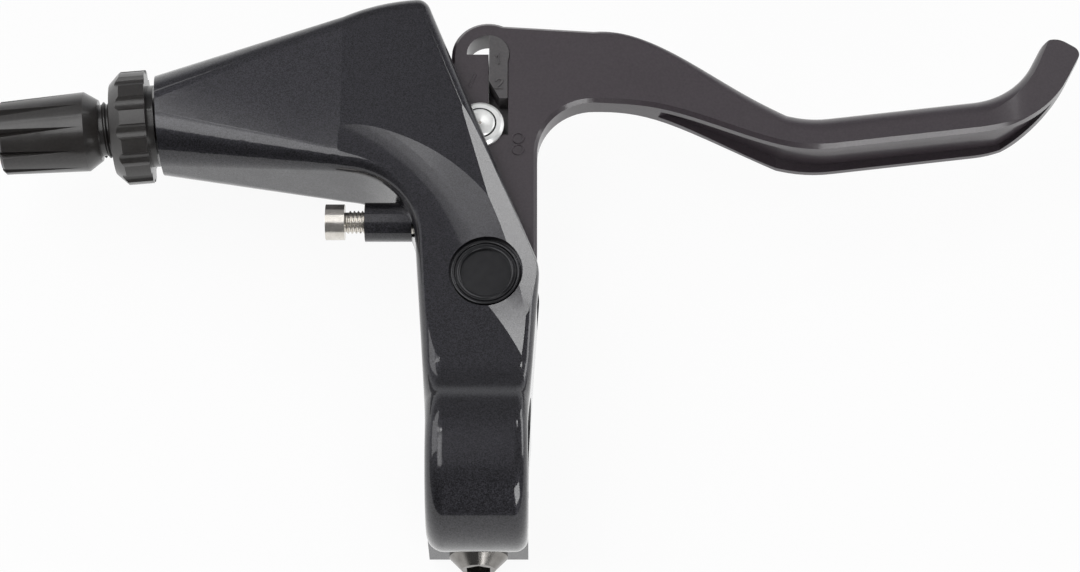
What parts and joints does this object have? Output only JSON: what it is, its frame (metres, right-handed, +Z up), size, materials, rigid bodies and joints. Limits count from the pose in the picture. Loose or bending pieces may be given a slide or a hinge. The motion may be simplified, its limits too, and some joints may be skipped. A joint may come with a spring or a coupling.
{
  "type": "bicycle brake lever",
  "caption": "Right-hand flat-bar brake lever: clamp bracket with tapering nose, sprung finger blade on a pivot axle, cable anchor, grooved barrel adjuster with lock ring and reach screw.",
  "frame": {"origin": "centre of the handlebar bore, half way along the clamp", "axes": "+X along the bar towards the grip, +Y forward of the bar, +Z up"},
  "size_m": [0.1905, 0.0987, 0.0358],
  "materials": {
    "bracket_paint": "gloss metallic dark grey",
    "lever_coat": "satin black",
    "bright_steel": "bright plated",
    "black_steel": "black semi-gloss",
    "bush_plastic": "moulded",
    "adjuster_plastic": "satin black",
    "insert_plastic": "satin grey"
  },
  "bodies": {
    "bracket_body": {"bracket": "bracket_paint", "clamp_bolt": "bright_steel", "pivot_axle": "black_steel", "axle_clip": "bright_steel", "return_spring": "bright_steel"},
    "lever_body": {"lever": "lever_coat", "upper_bush": "bush_plastic", "lower_bush": "bush_plastic", "mode_insert": "insert_plastic"},
    "anchor_body": {"cable_anchor": "bright_steel", "anchor_flange": "bright_steel"},
    "adjuster_body": {"barrel_adjuster": "adjuster_plastic"},
    "ring_body": {"lock_ring": "adjuster_plastic"},
    "reach_screw_body": {"reach_screw": "bright_steel"}
  },
  "joints": [
    {"name": "lever_pivot", "type": "hinge", "parent": "bracket_body", "child": "lever_body", "pos_m": [0.0013, 0.0312, 0], "axis": [0, 0, -1], "range_deg": [0, 30], "stiffness_Nm_per_rad": 0.2, "springref_deg": -22.92, "deforming": ["return_spring"]},
    {"name": "anchor_turn", "type": "hinge", "parent": "lever_body", "child": "anchor_body", "pos_m": [0.00005, 0.0606, 0], "axis": [0, 0, 1], "range_deg": [-30, 30]},
    {"name": "adjuster_travel", "type": "slide", "parent": "bracket_body", "child": "adjuster_body", "axis": [-0.9959, -0.0906, 0], "range_m": [-0.0018, 0.005]},
    {"name": "ring_turn", "type": "hinge", "parent": "bracket_body", "child": "ring_body", "pos_m": [-0.06148, 0.06305, -0.001], "axis": [-0.9959, -0.0906, 0], "continuous": true},
    {"name": "reach_travel", "type": "slide", "parent": "bracket_body", "child": "reach_screw_body", "axis": [-1, 0, 0], "range_m": [0, 0.003]}
  ]
}
